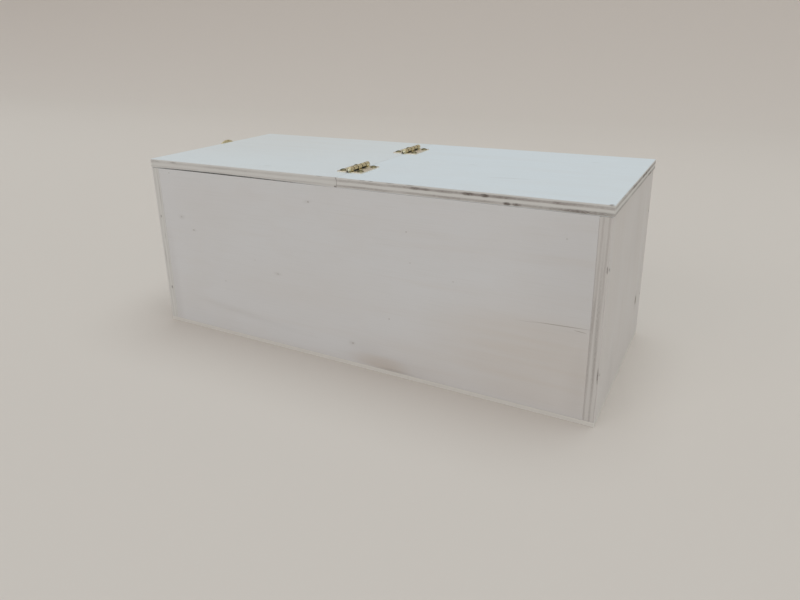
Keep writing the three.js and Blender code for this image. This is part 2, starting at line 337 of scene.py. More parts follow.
# Each mark is an oval on a panel's map: its place along and across the grain from the
# panel's lowest corner, its half length and half width, all in mm, how softly it fades
# and how strong it is, mostly from 0 to 1, and its lean in radians, if it has one.
FRONT_MARKS = [
    (24.6, 116.8, 0.8, 0.6, 0.5, 0.4), (24.9, 116.6, 3.4, 2, 0.9, 0.12),
    (39.8, 104.5, 0.9, 0.7, 0.5, 0.58), (40.2, 104.4, 2.8, 1.2, 0.9, 0.1),
    (185.7, 149, 0.9, 0.7, 0.5, 0.5), (184.9, 149.2, 4, 1.3, 0.9, 0.09, 0.2),
    (144.8, 73.9, 0.8, 0.6, 0.5, 0.46), (144.2, 74, 4, 1.3, 0.9, 0.13),
    (227, 19.3, 0.9, 0.8, 0.5, 0.48), (226.4, 19.4, 3.4, 1.9, 0.9, 0.16),
    (14.6, 161.2, 0.6, 0.6, 0.5, 0.38), (284.1, 133.8, 0.7, 0.6, 0.5, 0.4),
    (117.5, 84, 0.6, 0.5, 0.5, 0.28), (76.3, 55.2, 0.6, 0.6, 0.5, 0.34),
    (266, 51.5, 0.7, 0.6, 0.5, 0.34), (287.5, 107.1, 0.6, 0.5, 0.5, 0.26),
    (326.8, 96.8, 0.7, 0.5, 0.5, 0.28),
    (416.3, 145.4, 0.7, 0.6, 0.5, 0.3), (415, 148, 6, 2.2, 0.9, 0.07, 0.3),
    # The split beside the right end, with a shorter one under it.
    (417, 76.4, 20, 0.3, 0.6, 0.62, 0.043), (391, 74.6, 9, 0.22, 0.7, 0.22, 0.04),
    (431, 74.3, 4.6, 0.35, 0.6, 0.5, -0.08), (426, 72.6, 13, 1.6, 0.9, 0.1),
    # Grey-brown darkening low down, strongest on the bottom edge in the middle, and soft bands
    # near both ends.
    (262, 4.5, 34, 8, 0.95, 0.12), (243, 13, 16, 10, 0.95, 0.07),
    (270, 1.2, 20, 1.8, 0.8, 0.26), (96, 24, 46, 3, 0.95, 0.06, -0.1),
    (433, 30, 9, 46, 0.95, 0.08), (3, 30, 5, 60, 0.95, 0.08),
    # Soft darkening over the upper right of the front: painted shade.
    (436, 112, 40, 56, 0.95, 0.09),
]
END_MARKS = [
    (43, 160, 4.6, 2.4, 0.4, 0.95), (42, 160, 8, 5, 0.9, 0.14),
    (24, 52, 16, 9, 0.95, 0.07), (120, 120, 30, 22, 0.95, 0.05),
]
FRONT_THIN = [
    (402, 39.5, 82, 37, 0.85, 0.42), (316, 17, 62, 18, 0.95, 0.22),
    (170, 60, 90, 24, 0.95, 0.1), (60, 130, 40, 26, 0.95, 0.1),
    (258, 6, 26, 7, 0.85, 0.45),
]
LIFTING_THIN = [(60, 150, 120, 80, 0.95, 0.16)]
LIFTING_MARKS = [
    (138.1, 17.6, 3.2, 0.9, 0.8, 0.24, 0.15), (96, 120, 5, 0.8, 0.9, 0.07),
    (224.5, 34, 1.4, 12, 0.9, 0.1),
]
FIXED_MARKS = [
    (135.8, 54.9, 14.8, 0.4, 0.7, 0.34, 0.124), (126, 51.2, 5, 0.3, 0.7, 0.2, 0.12),
    (85.3, 97.4, 3, 1.2, 0.9, 0.13), (185.1, 150.6, 4, 1.3, 0.9, 0.12),
    (228.2, 0.9, 1.7, 0.8, 0.5, 0.6, 0.5),
]
# Marks of less than this half width, in mm, are splits and keep a clean outline.
SPLIT_WIDTH = 0.45


def ovals(tree, place, marks):
    """The strongest of a list of marks at each place on the map."""
    # Broken outlines: the fibres carry a mark's edge about by half a millimetre.
    breakup = add_node(tree, "TexNoise", {"Vector": place, "Scale": 1 / (1.6 * MM)})
    ragged = add_node(
        tree, "MapRange",
        {"Vector": breakup.outputs["Color"],
         "To Min": (-0.5 * MM,) * 3, "To Max": (0.5 * MM,) * 3},
        data_type="FLOAT_VECTOR",
    )
    moved = add_node(
        tree, "VectorMath", {0: place, 1: ragged.outputs["Vector"]}, operation="ADD"
    )
    strongest = None
    for x, y, half_length, half_width, softness, strength, *lean in marks:
        local = add_node(
            tree, "Mapping",
            {"Vector": place if half_width < SPLIT_WIDTH else moved,
             "Location": (x * MM, y * MM, 0), "Rotation": (0, 0, *(lean or [0])),
             "Scale": (half_length * MM, half_width * MM, 1e6)},
            vector_type="TEXTURE",
        )
        radius = add_node(tree, "VectorMath", {0: local}, operation="LENGTH")
        mark = add_node(
            tree, "MapRange",
            {0: radius.outputs["Value"], 1: 1 + softness, 2: 1 - softness, 4: strength},
            interpolation_type="SMOOTHSTEP",
        )
        strongest = mark if strongest is None else add_node(
            tree, "Math", {0: strongest, 1: mark}, operation="MAXIMUM"
        )
    return strongest


def grain_noise(tree, place, seed, along, across, detail, name):
    """Noise stretched to a real length along the grain and width across it, in mm."""
    spread = add_node(
        tree, "Mapping",
        {"Vector": place, "Location": (seed * 3.7, seed * 1.9, seed),
         "Scale": (1 / (along * MM), 1 / (across * MM), 1)},
        label=name,
    )
    return add_node(
        tree, "TexNoise",
        {"Vector": spread, "Scale": 1.0, "Detail": detail, "Roughness": 0.55}, label=name,
    )


def whitewashed_birch(name, seed, wash_colour, marks=(), thin=(), warmth=0.16):
    """Rotary-cut birch face veneer under one thin brushed coat of matt whitewash: chalky
    and nearly white, the fibre just showing, warmer and browner where the coat ran thin."""
    material, tree = new_material(name)
    place = add_node(tree, "UVMap", uv_map="grain")

    # Birch fibre is about 0.03 mm wide: drawn at 0.9 mm so that it shows at all.
    fibre = grain_noise(tree, place, seed, 45, 0.9, 3, "fibre")
    # Growth bands of rotary-cut veneer, 10 to 20 mm apart, run long and wander.
    bands = grain_noise(tree, place, seed + 5, 260, 14, 3, "growth bands")
    # Brush loads of whitewash, a hand's width long.
    wash = grain_noise(tree, place, seed + 9, 85, 38, 4, "brush loads")

    thin_bands, thin_wash = (
        add_node(
            tree, "MapRange", {0: noise, 1: low, 2: high, 4: warmth},
            interpolation_type="SMOOTHSTEP",
        )
        for noise, low, high in ((bands, 0.46, 0.74), (wash, 0.42, 0.78))
    )
    thinned = add_node(tree, "Math", {0: thin_bands, 1: thin_wash}, operation="MAXIMUM")
    if thin:
        broken = add_node(tree, "MapRange", {0: bands, 1: 0.3, 2: 0.62, 3: 0.5})
        zones = add_node(
            tree, "Math", {0: ovals(tree, place, thin), 1: broken}, operation="MULTIPLY"
        )
        thinned = add_node(tree, "Math", {0: thinned, 1: zones}, operation="MAXIMUM")
    washed = add_node(
        tree, "Mix", {0: thinned, 6: wash_colour, 7: THIN_WASH}, data_type="RGBA"
    )
    fibre_share = add_node(tree, "MapRange", {0: fibre, 1: 0.5, 2: 0.8, 4: 0.17})
    grained = add_node(
        tree, "Mix", {0: fibre_share, 6: washed.outputs[2], 7: FIBRE_GREY}, data_type="RGBA"
    )

    # Specks of bare wood and pinholes, one or two to a hand's width.
    specks = add_node(tree, "TexVoronoi", {"Vector": place, "Scale": 1 / (38 * MM)})
    stained = add_node(tree, "MapRange", {0: specks, 1: 0.008, 2: 0.022, 3: 0.3, 4: 0.0})
    if marks:
        stained = add_node(
            tree, "Math", {0: ovals(tree, place, marks), 1: stained}, operation="MAXIMUM"
        )
    colour = add_node(
        tree, "Mix", {0: stained, 6: grained.outputs[2], 7: STAIN}, data_type="RGBA"
    )

    height = add_node(tree, "Math", {0: fibre, 1: wash}, operation="ADD")
    bump = add_node(tree, "Bump", {"Strength": 0.3, "Distance": 0.05 * MM, "Height": height})
    roughness = add_node(tree, "MapRange", {0: wash, 1: 0.3, 2: 0.7, 3: 0.62, 4: 0.8})
    shader = add_node(
        tree, "BsdfPrincipled",
        {"Base Color": colour.outputs[2], "Roughness": roughness, "IOR": 1.46,
         "Specular IOR Level": 0.35, "Normal": bump},
    )
    add_node(tree, "OutputMaterial", {"Surface": shader})
    return material


# Darker cross plies of a five-ply sheet, and of a three-ply one, as shares of the thickness.
FIVE_PLY = ((0.15, 0.39), (0.61, 0.85))
THREE_PLY = ((0.34, 0.66),)
# The top's sheet is uneven: its bottom ply is the thinnest.
TOP_PLY = ((0.07, 0.31), (0.57, 0.82))
# On the right end the joint with the front, the middle ply and the outer glue line show
# dark. They lean with the height, by this many thicknesses to the metre.
END_PLY = ((-0.06, 0.12), (0.42, 0.6), (0.85, 0.91))
END_LEAN = 1.8

# Voids and missed places on the edges, as marks. The map runs from 0 to 1 through the
# plies, so their height and half width there are in thousandths of the thickness.
LIFTING_VOIDS = [
    (7, 800, 5, 40, 0.6, 0.45), (32.5, 800, 3.6, 55, 0.6, 0.6),
    (106.5, 730, 22, 70, 0.9, 0.1), (209, 930, 3, 40, 0.6, 0.35),
    (225.8, 70, 1.2, 90, 0.5, 1), (226.5, 880, 0.6, 110, 0.6, 0.6),
]
FIXED_VOIDS = [
    (26, 700, 24, 110, 0.9, 0.12), (60, 695, 9, 120, 0.8, 0.22),
    (76, 695, 5, 120, 0.7, 0.75), (84.5, 690, 5, 110, 0.7, 0.65),
    (103, 690, 13, 120, 0.8, 0.4), (121.5, 690, 6, 130, 0.6, 0.95),
    (129, 690, 4, 110, 0.7, 0.6), (134.9, 690, 3.6, 140, 0.5, 1.1),
    (148, 695, 14, 130, 0.8, 0.55), (166, 695, 10, 120, 0.9, 0.34),
    (191, 700, 4.5, 130, 0.8, 0.4), (200, 700, 12, 150, 0.9, 0.26),
    (216, 700, 16, 160, 0.9, 0.16),
    (26, 190, 24, 110, 0.9, 0.12), (110, 190, 34, 110, 0.9, 0.16),
    (152.7, 190, 2.8, 130, 0.5, 1.1), (160.4, 190, 3.4, 120, 0.6, 0.8),
    (174, 190, 12, 130, 0.9, 0.32), (190, 190, 9, 130, 0.9, 0.42),
    (205, 185, 13, 150, 0.7, 0.72), (221, 185, 11, 150, 0.8, 0.55),
    # Nicks along the arris, where the coat has come off.
    (228.2, 940, 1.6, 60, 0.5, 0.55),
    (26, 930, 3, 50, 0.6, 0.4), (34, 940, 2.2, 50, 0.6, 0.5),
    (52, 930, 4, 50, 0.7, 0.35), (71, 920, 3.4, 60, 0.6, 0.4),
]
LEFT_VOIDS = [
    (35, 620, 1.6, 110, 0.6, 0.75), (114, 420, 1.4, 90, 0.6, 0.55),
    (70, 300, 6, 60, 0.8, 0.25), (93, 640, 3, 60, 0.8, 0.25),
]
END_VOIDS = [
    (40.5, 910, 5.5, 60, 0.6, 0.75), (125.9, 930, 2.4, 60, 0.6, 0.75),
    (100, 910, 12, 30, 0.8, 0.16),
    (72, 20, 52, 90, 0.95, 0.3), (74, 500, 52, 100, 0.95, 0.34),
]


def sawn_ply_edge(
    name, seed, contrast, bands=FIVE_PLY, voids=(), bruised=0.1, pale=PLY_LIGHT, lean=0.0
):
    """Sawn birch ply edge, washed over: smooth pale plies with darker, rougher cross plies
    between them, browner where the coat missed, and voids that read nearly black."""
    material, tree = new_material(name)
    place = add_node(tree, "UVMap", uv_map="grain")
    along, through, _ = add_node(tree, "SeparateXYZ", {0: place}).outputs

    # The glue lines waver by a few tenths of a millimetre over a finger's length.
    waver_place = add_node(tree, "CombineXYZ", {"X": along, "Y": seed})
    waver = add_node(
        tree, "TexNoise", {"Vector": waver_place, "Scale": 1 / (18 * MM), "Detail": 3}
    )
    shift = add_node(tree, "MapRange", {0: waver, 1: 0.2, 2: 0.8, 3: -0.035, 4: 0.035})
    leaning = add_node(tree, "Math", {0: along, 1: -lean, 2: shift}, operation="MULTIPLY_ADD")
    depth = add_node(tree, "Math", {0: through, 1: leaning}, operation="ADD")

    # 1 in the middle of a cross ply, and 0 outside all of them.
    cross = None
    for low, high in bands:
        half = (high - low) / 2
        offset = add_node(tree, "Math", {0: depth, 1: (low + high) / 2}, operation="SUBTRACT")
        distance = add_node(tree, "Math", {0: offset}, operation="ABSOLUTE")
        band = add_node(
            tree, "MapRange", {0: distance, 1: half * 1.25, 2: half * 0.55},
            interpolation_type="SMOOTHSTEP",
        )
        cross = band if cross is None else add_node(
            tree, "Math", {0: cross, 1: band}, operation="MAXIMUM"
        )

    # Pores of the rough end grain, smeared along the saw's way, about 0.8 mm by 0.3 mm,
    # and the way that the wash fills the cross plies, a few centimetres at a time.
    pores, fill = (
        add_node(tree, "TexNoise", {
            "Vector": add_node(
                tree, "Mapping", {"Vector": place, "Scale": scale, "Location": start}
            ),
            "Scale": 1.0, "Detail": detail,
        })
        for scale, start, detail in (
            ((1 / (2.4 * MM), 22, 1), (seed, 0, seed), 4),
            ((1 / (26 * MM), 2.2, 1), (0, seed, 3), 3),
        )
    )
    fill_share, pore_share, broken = (
        add_node(tree, "MapRange", {0: noise, 1: low, 2: high, 3: least})
        for noise, low, high, least in (
            (fill, 0.32, 0.68, 0.45), (pores, 0.3, 0.65, 0.6), (pores, 0.36, 0.6, 0.35),
        )
    )
    rough_share = add_node(tree, "Math", {0: fill_share, 1: pore_share}, operation="MULTIPLY")
    share = add_node(tree, "Math", {0: rough_share, 1: cross}, operation="MULTIPLY")
    dark_share = add_node(
        tree, "Math", {0: share, 1: contrast}, operation="MULTIPLY", use_clamp=True
    )
    plies = add_node(tree, "Mix", {0: dark_share, 6: pale, 7: PLY_DARK}, data_type="RGBA")

    bruise = add_node(tree, "MapRange", {0: fill, 1: 0.56, 2: 0.72, 4: bruised})
    brown_share = add_node(tree, "Math", {0: bruise, 1: share}, operation="MULTIPLY")
    if voids:
        missed = add_node(
            tree, "Math", {0: ovals(tree, place, voids), 1: broken},
            operation="MULTIPLY", use_clamp=True,
        )
        brown_share = add_node(tree, "Math", {0: missed, 1: brown_share}, operation="MAXIMUM")
    colour = add_node(
        tree, "Mix", {0: brown_share, 6: plies.outputs[2], 7: PLY_BROWN}, data_type="RGBA"
    )

    relief = add_node(tree, "Math", {0: share, 1: pores}, operation="MULTIPLY")
    bump = add_node(
        tree, "Bump", {"Strength": 0.6, "Distance": 0.25 * MM, "Height": relief}, invert=True
    )
    shader = add_node(
        tree, "BsdfPrincipled",
        {"Base Color": colour.outputs[2], "Roughness": 0.82, "IOR": 1.46,
         "Specular IOR Level": 0.25, "Normal": bump},
    )
    add_node(tree, "OutputMaterial", {"Surface": shader})
    return material


# ---- metal finishes

# Painted shade, nearly black, along a barrel's foot: how far out it reaches, and where it is
# full.
PAINTED_SHADE_REACH = 2.25 * MM
PAINTED_SHADE_CORE = 1.45 * MM


def aged_brass(name, seed, clean=BRASS, shine=0.24, dulled=0.5, foot=None):
    """Thin stamped brass, its lacquer worn: pale warm yellow metal that still shines, with
    soft highlights, gone duller and browner in patches, and painted shade, nearly black, along
    the foot of the barrel, which is a line along Y given by its x and its height."""
    material, tree = new_material(name)
    place = add_node(tree, "TexCoord").outputs["Object"]
    # Tarnish gathers in patches about 3 mm across.
    patch_place = add_node(tree, "Mapping", {"Vector": place, "Location": (seed, 0, 0)})
    patches = add_node(
        tree, "TexNoise", {"Vector": patch_place, "Scale": 1 / (3 * MM), "Detail": 4}
    )
    tarnished = add_node(tree, "MapRange", {0: patches, 1: 0.4, 2: 0.7, 4: dulled})
    colour = add_node(tree, "Mix", {0: tarnished, 6: clean, 7: TARNISH}, data_type="RGBA")
    if foot:
        # Painted shade: the barrel darkens to nearly black near the line of its foot.
        across = add_node(tree, "VectorMath", {0: place, 1: (1, 0, 1)}, operation="MULTIPLY")
        away = add_node(
            tree, "VectorMath", {0: across, 1: (foot[0], 0, foot[1])}, operation="DISTANCE"
        )
        painted_shade_share = add_node(
            tree, "MapRange", {0: away.outputs["Value"], 1: PAINTED_SHADE_REACH, 2: PAINTED_SHADE_CORE},
            interpolation_type="SMOOTHSTEP",
        )
        colour = add_node(
            tree, "Mix", {0: painted_shade_share, 6: colour.outputs[2], 7: PAINTED_SHADE}, data_type="RGBA"
        )
    # Rolling and stamping marks, 0.2 mm apart, drawn at 0.5 mm so that they show.
    marks = add_node(tree, "TexNoise", {"Vector": place, "Scale": 1 / (0.5 * MM)})
    bump = add_node(tree, "Bump", {"Strength": 0.2, "Distance": 0.03 * MM, "Height": marks})
    roughness = add_node(
        tree, "MapRange", {0: patches, 1: 0.3, 2: 0.7, 3: shine, 4: shine + 0.18}
    )
    shader = add_node(
        tree, "BsdfPrincipled",
        {"Base Color": colour.outputs[2], "Metallic": 1.0, "Roughness": roughness,
         "Normal": bump},
    )
    add_node(tree, "OutputMaterial", {"Surface": shader})
    return material


def drawn_steel(name):
    """Drawn steel wire of a panel pin: a grey shine, its head dulled by a trace of wash."""
    material, tree = new_material(name)
    place = add_node(tree, "TexCoord").outputs["Object"]
    film = add_node(tree, "TexNoise", {"Vector": place, "Scale": 1 / (0.8 * MM), "Detail": 3})
    film_share = add_node(tree, "MapRange", {0: film, 1: 0.4, 2: 0.7, 4: 0.5})
    colour = add_node(tree, "Mix", {0: film_share, 6: STEEL, 7: WHITEWASH}, data_type="RGBA")
    shader = add_node(
        tree, "BsdfPrincipled",
        {"Base Color": colour.outputs[2], "Metallic": 0.8, "Roughness": 0.48},
    )
    add_node(tree, "OutputMaterial", {"Surface": shader})
    return material


# ---- settings


class KINDLING_PG_wood(bpy.types.PropertyGroup):
    arris: FloatProperty(
        name="Arris", description="Rounding of the case's sawn edges",
        default=ARRIS, min=0.0, unit="LENGTH",
    )
    top_arris: FloatProperty(
        name="Top arris", description="Rounding of the top's edges",
        default=TOP_ARRIS, min=0.0, unit="LENGTH",
    )


class KINDLING_PG_stage(bpy.types.PropertyGroup):
    floor_colour: FloatVectorProperty(
        name="Floor", description="Colour of the floor and backdrop as the camera sees it",
        default=FLOOR_SEEN[:3], subtype="COLOR", size=3, min=0.0, max=1.0,
    )
    focal_length: FloatProperty(
        name="Focal length", description="Lens of the camera, in mm on a 36 mm sensor",
        default=28.9, min=1.0,
    )


# ---- operators


class KINDLING_OT_panels(bpy.types.Operator):
    """The case's five panels and the two halves of the top, in washed five-ply."""

    bl_idname = "kindling.panels"
    bl_label = "Plywood panels"

    def execute(self, context):
        wood = context.scene.kindling_wood
        plain, front, lifting, fixed, right = (
            whitewashed_birch("whitewashed birch " + name, *look)
            for name, *look in (
                # The tops' cooler and the right end's warmer washes are lit copies of one
                # whitewash: painted light.
                ("veneer", 3, WHITEWASH),
                ("front", 1, WHITEWASH, FRONT_MARKS, FRONT_THIN, 0.1),
                ("lifting top", 7, LIFTING_WASH_PAINTED_COOL_LIGHT, LIFTING_MARKS, LIFTING_THIN, 0.06),
                ("fixed top", 11, FIXED_WASH_PAINTED_COOL_LIGHT, FIXED_MARKS, (), 0.06),
                ("right end", 15, END_WASH_PAINTED_WARM_LIGHT, END_MARKS, (), 0.1),
            )
        )
        case_edge, left_edge, right_edge, bottom_edge, lifting_edge, fixed_edge = (
            sawn_ply_edge("sawn ply edge, " + name, *look)
            for name, *look in (
                ("case", 2, 0.6),
                ("left end", 12, 0.22, FIVE_PLY, LEFT_VOIDS),
                ("right end", 6, 0.5, END_PLY, END_VOIDS, 0.1, PLY_WARM, END_LEAN),
                # The bottom's edge takes paler plies: painted light.
                ("bottom", 4, 0.1, THREE_PLY, (), 0.0, PLY_FOOT_PAINTED_LIGHT),
                ("lifting top", 5, 0.36, TOP_PLY, LIFTING_VOIDS),
                ("fixed top", 8, 0.85, TOP_PLY, FIXED_VOIDS),
            )
        )
        # Face, edge, arris, and the axis that the grain of the face runs along.
        finishes = {
            "front_panel": (front, case_edge, wood.arris, 0),
            "back_panel": (plain, case_edge, wood.arris, 0),
            "left_end_panel": (plain, left_edge, wood.arris, 2),
            "right_end_panel": (right, right_edge, wood.arris, 2),
            "bottom_panel": (plain, bottom_edge, wood.arris / 2, 0),
            "lifting_top_panel": (lifting, lifting_edge, wood.top_arris, 0),
            "fixed_top_panel": (fixed, fixed_edge, wood.top_arris, 0),
        }
        for node, (face, edge, arris, grain) in finishes.items():
            low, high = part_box(node)
            seam = {"lifting_top_panel": high.x, "fixed_top_panel": low.x}.get(node)
            warp = bowed_front_edge if node == "lifting_top_panel" else None
            mesh = panel_mesh(low, high, grain, arris, seam, warp)
            panel = piece(node + "_washed", mesh, [face, edge], PANEL_SHARP)
            if node.endswith("end_panel"):
                drill_pin_holes(panel, node.split("_")[0])
            stand_for(panel, "painted_ply", node)
        return {"FINISHED"}


def end_pins(side):
    """The CAD nodes of one end's panel pins, each with the middle of its outer face."""
    for node in sorted(frame["nodes"]):
        if node.startswith(side + "_end_pin_"):
            low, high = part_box(node)
            yield node, middle_at((high if side == "right" else low).x, node)


def drill_pin_holes(panel, side):
    """Opens the shallow holes that the pins' heads were punched into."""
    turn = Matrix.Rotation(math.pi / 2, 4, "Y")
    profile = [
        (0, -PIN_HOLE_DEPTH), (PIN_HOLE_RADIUS, -PIN_HOLE_DEPTH),
        (PIN_HOLE_RADIUS, PIN_HOLE_DEPTH), (0, PIN_HOLE_DEPTH),
    ]
    combine(panel, "DIFFERENCE", [
        move(piece("pin hole", lathe(profile, 24)), Matrix.Translation(place) @ turn)
        for _, place in end_pins(side)
    ])
    panel.data.set_sharp_from_angle(angle=PANEL_SHARP)


class KINDLING_OT_panel_pins(bpy.types.Operator):
    """The steel pins through the end panels, their heads punched just below the face."""

    bl_idname = "kindling.panel_pins"
    bl_label = "Panel pins"

    def execute(self, context):
        steel = drawn_steel("drawn steel wire")
        for side, outward in (("left", -1), ("right", 1)):
            turn = Matrix.Rotation(outward * math.pi / 2, 4, "Y")
            for node, place in end_pins(side):
                low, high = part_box(node)
                radius = (high.z - low.z) / 2
                length = high.x - low.x
                profile = [
                    (0, -length), (PIN_SHANK, -length + 2 * PIN_SHANK), (PIN_SHANK, -PIN_HEAD),
                    (radius * 0.9, -PIN_HEAD), (radius, -PIN_HEAD * 0.8),
                    (radius, -PIN_SUNK - 0.1 * MM), (radius * 0.88, -PIN_SUNK),
                    (0, -PIN_SUNK + 0.05 * MM),
                ]
                pin = piece(node + "_wire", lathe(profile, 28), [steel])
                move(pin, Matrix.Translation(place) @ turn)
                stand_for(pin, "steel_pin", node)
        return {"FINISHED"}


# ---- hinges

LEAF = 0.8 * MM
LEAF_CORNER = 1.5 * MM
NOTCH_GAP = 0.4 * MM
KNUCKLE_GAP = 0.4 * MM
KNUCKLES = 5
CURL_GAP = 0.25 * MM
# Slant of the rolled sheet's end, in radians.
CURL_BEVEL = 0.05
BRASS_EDGE = 0.16 * MM
KNUCKLE_EDGE = 0.3 * MM
PIN_CROWN = 0.35 * MM
SCREW_RISE = 1.5 * MM
SCREW_SHANK = 1.3 * MM
SCREW_POINT = 2.5 * MM
# Cross recesses: half length, half width and depth of each slot.
HINGE_CROSS = (1.5 * MM, 0.32 * MM, 0.9 * MM)
CATCH_CROSS = (1.1 * MM, 0.25 * MM, 0.6 * MM)


def bow(half, rise):
    """Radius and half angle of the arc that rises over a chord of twice the half."""
    radius = (half ** 2 + rise ** 2) / (2 * rise)
    return radius, math.asin(half / radius)


def dome(radius, foot, crown):
    """Half-profile of a domed head, from its rim to its crown."""
    sphere, spread = bow(radius, crown - foot)
    top = math.pi / 2
    return [*arc((0, crown - sphere), sphere, top - spread, top, 8)[:-1], (0, crown)]


def cut_cross(screw, cross, top, turned):
    """Cuts two crossed slots into a screw's head, turned by an angle."""
    half_long, half_wide, depth = cross
    outline = [(-half_long, -half_wide), (half_long, -half_wide),
               (half_long, half_wide), (-half_long, half_wide)]
    combine(screw, "DIFFERENCE", [
        move(piece("recess", prism(outline, top - depth, top + MM)),
             Matrix.Rotation(turn + turned, 4, "Z"))
        for turn in (0, math.pi / 2)
    ])


def curled_section(radius):
    """Outline of a knuckle: the sheet runs in along the wood and rolls right round the pin."""
    stub = radius + NOTCH_GAP + LEAF
    close = math.asin((LEAF + CURL_GAP - radius) / radius)
    foot = -math.pi / 2
    outside = arc((0, radius), radius, foot, close - 2 * math.pi, 40)
    inside = arc((0, radius), radius - LEAF, close + CURL_BEVEL - 2 * math.pi, foot, 40)
    return [(stub, 0), *outside, *inside, (stub, LEAF)]


def hinge_leaf(node, side, pin_centre):
    """One brass leaf: a flat with rounded corners and its own knuckles, notched for the
    other leaf's knuckles. Its flat, its barrel and its joints take a finish each: the flat's
    holds a painted reflection, the barrel's painted shade along its foot, and the joints'
    painted shade."""
    low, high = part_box(node)
    length = high.y - low.y
    radius = (high.z - low.z) / 2
    reach = (high.x - pin_centre.x) if side > 0 else (pin_centre.x - low.x)
    near = radius + NOTCH_GAP
    half = length / 2
    corner_x = reach - LEAF_CORNER
    flat = [(near, half), (near, -half)]
    flat += arc((corner_x, LEAF_CORNER - half), LEAF_CORNER, -math.pi / 2, 0, 8)
    flat += arc((corner_x, half - LEAF_CORNER), LEAF_CORNER, 0, math.pi / 2, 8)
    leaf = piece(node + "_brass", prism(flat, 0, LEAF))
    pitch = (length + KNUCKLE_GAP) / KNUCKLES
    width = pitch - KNUCKLE_GAP
    knuckles = []
    for index in range(0 if side > 0 else 1, KNUCKLES, 2):
        knuckle = piece("knuckle", prism(curled_section(radius), 0, width))
        soften_edges(knuckle, KNUCKLE_EDGE)
        stand = Matrix.Translation((0, -half + index * pitch + pitch - KNUCKLE_GAP, 0))
        knuckles.append(move(knuckle, stand @ Matrix.Rotation(math.pi / 2, 4, "X")))
    combine(leaf, "UNION", knuckles)
    soften_edges(leaf, BRASS_EDGE)
    for face in leaf.data.polygons:
        in_joint = abs(face.normal.y) > 0.3 and abs(face.center.y) < half - MM
        if face.center.x < radius:
            face.material_index = 2 if in_joint else 1
    turn = Matrix.Identity(4) if side > 0 else Matrix.Rotation(math.pi, 4, "Z")
    return move(leaf, Matrix.Translation((pin_centre.x, pin_centre.y, low.z)) @ turn)


class KINDLING_OT_hinges(bpy.types.Operator):
    """Two brass butt hinges: rolled knuckles on each leaf and the pin that joins them."""

    bl_idname = "kindling.hinges"
    bl_label = "Butt hinges"

    def execute(self, context):
        pin_low, pin_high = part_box("hinge_pin_front")
        axis_x = (pin_low.x + pin_high.x) / 2
        foot_z = pin_low.z - LEAF
        out = (pin_high.z - pin_low.z) / 2 + LEAF
        # The leaves' flats are coloured nearly white: a painted reflection of the pale sky.
        flat = aged_brass("brass leaf with painted sky reflection", 0, LEAF_BRASS_PAINTED_REFLECTION, 0.2, dulled=0.25)
        # The knuckles' end faces in the joints take the nearly black colour: painted shade
        # between the parts.
        joint = aged_brass("brass joint in painted shade", 6, PAINTED_SHADE, 0.6, dulled=0.2)
        # The pins' pale colour is a painted highlight on their ends.
        pin_brass = aged_brass("brass pin with painted highlight", 3, PIN_BRASS_PAINTED_HIGHLIGHT, 0.2, dulled=0.2)
        # Each barrel takes painted shade along the foot on its own side.
        barrels = {
            name: aged_brass(
                f"aged brass {name} barrel", seed, dulled=0.4, foot=(axis_x + way * out, foot_z)
            )
            for name, seed, way in (("fixed", 1, -1), ("lifting", 2, 1))
        }
        for where in ("front", "rear"):
            pin_low, pin_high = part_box("hinge_pin_" + where)
            centre = (pin_low + pin_high) / 2
            for name, side in (("fixed", 1), ("lifting", -1)):
                node = f"{name}_leaf_{where}"
                leaf = hinge_leaf(node, side, centre)
                for finish in (flat, barrels[name], joint):
                    leaf.data.materials.append(finish)
                stand_for(leaf, "brass", node)
            radius = (pin_high.z - pin_low.z) / 2
            half = (pin_high.y - pin_low.y) / 2
            profile = [(0, -half)]
            profile += [
                (radius - PIN_CROWN * (1 - math.sin(angle)),
                 -half + PIN_CROWN * (1 - math.cos(angle)))
                for angle in (0.2, 0.7, 1.1, math.pi / 2)
            ]
            profile += [(r, -z) for r, z in reversed(profile)]
            pin = piece(f"hinge_pin_{where}_brass", lathe(profile), [pin_brass])
            move(pin, Matrix.Translation(centre) @ Matrix.Rotation(math.pi / 2, 4, "X"))
            stand_for(pin, "brass", "hinge_pin_" + where)
        return {"FINISHED"}


class KINDLING_OT_hinge_screws(bpy.types.Operator):
    """Round-head brass screws with cross recesses, two in each hinge leaf."""

    bl_idname = "kindling.hinge_screws"
    bl_label = "Hinge screws"

    def execute(self, context):
        brass = aged_brass("dulled brass screw", 4, SCREW_BRASS, 0.45)
        nodes = sorted(node for node in frame["nodes"] if "_leaf_screw_" in node)
        for index, node in enumerate(nodes):
            low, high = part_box(node)
            centre = (low + high) / 2
            seat = high.z - SCREW_RISE
            tip = low.z - seat
            profile = [(0, tip), (SCREW_SHANK, tip + SCREW_POINT), (SCREW_SHANK, 0)]
            profile += dome((high.x - low.x) / 2, 0, SCREW_RISE)
            screw = piece(node + "_brass", lathe(profile), [brass])
            cut_cross(screw, HINGE_CROSS, SCREW_RISE, 0.7 * index)
            shade(screw.data, math.radians(35))
            move(screw, Matrix.Translation((centre.x, centre.y, seat)))
            stand_for(screw, "brass", node)
        return {"FINISHED"}


# ---- catch

# Drawing plane of the left end, seen from outside: x to the front, y up, z outwards.
FACE_LEFT = Matrix(((0, 0, -1, 0), (-1, 0, 0, 0), (0, 1, 0, 0), (0, 0, 0, 1)))
HOOK_FIT = 0.3 * MM
SINK_FIT = 0.15 * MM
# How far below the top the straight sides of the keeper plate end.
KEEPER_SHOULDER = 2 * MM
POST_SHANK = 1.2 * MM
POST_NECK = 1.5 * MM
